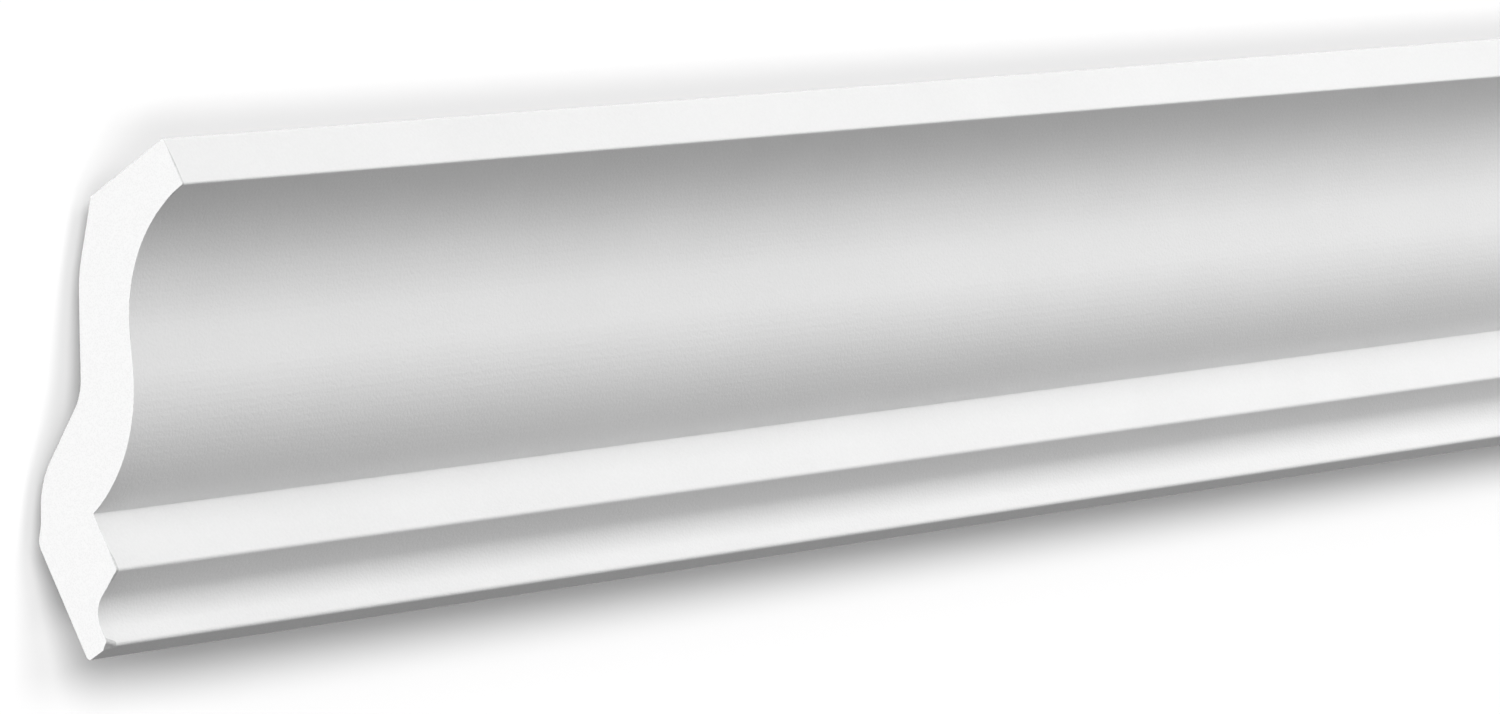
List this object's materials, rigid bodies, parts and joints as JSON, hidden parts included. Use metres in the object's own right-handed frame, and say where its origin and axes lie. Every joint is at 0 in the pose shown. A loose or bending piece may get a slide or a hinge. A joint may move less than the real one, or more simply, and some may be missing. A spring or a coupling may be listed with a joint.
{
  "type": "crown moulding length",
  "caption": "Straight length of crown moulding: a cyma between flat fillets with a small cavetto below, hollow behind, to cover the corner of wall and ceiling.",
  "frame": {"origin": "centre of the flat that lies against the wall, at mid length", "axes": "+X along the length, +Y out of the wall flat into the wall, +Z out of the ceiling flat up to the ceiling"},
  "size_m": [0.6, 0.076, 0.08],
  "materials": {
    "primed_foam": "matt white factory primer on moulded rigid foam, bare sawn foam on the cut ends"
  },
  "bodies": {
    "root": {"crown_moulding": "primed_foam"}
  },
  "joints": []
}
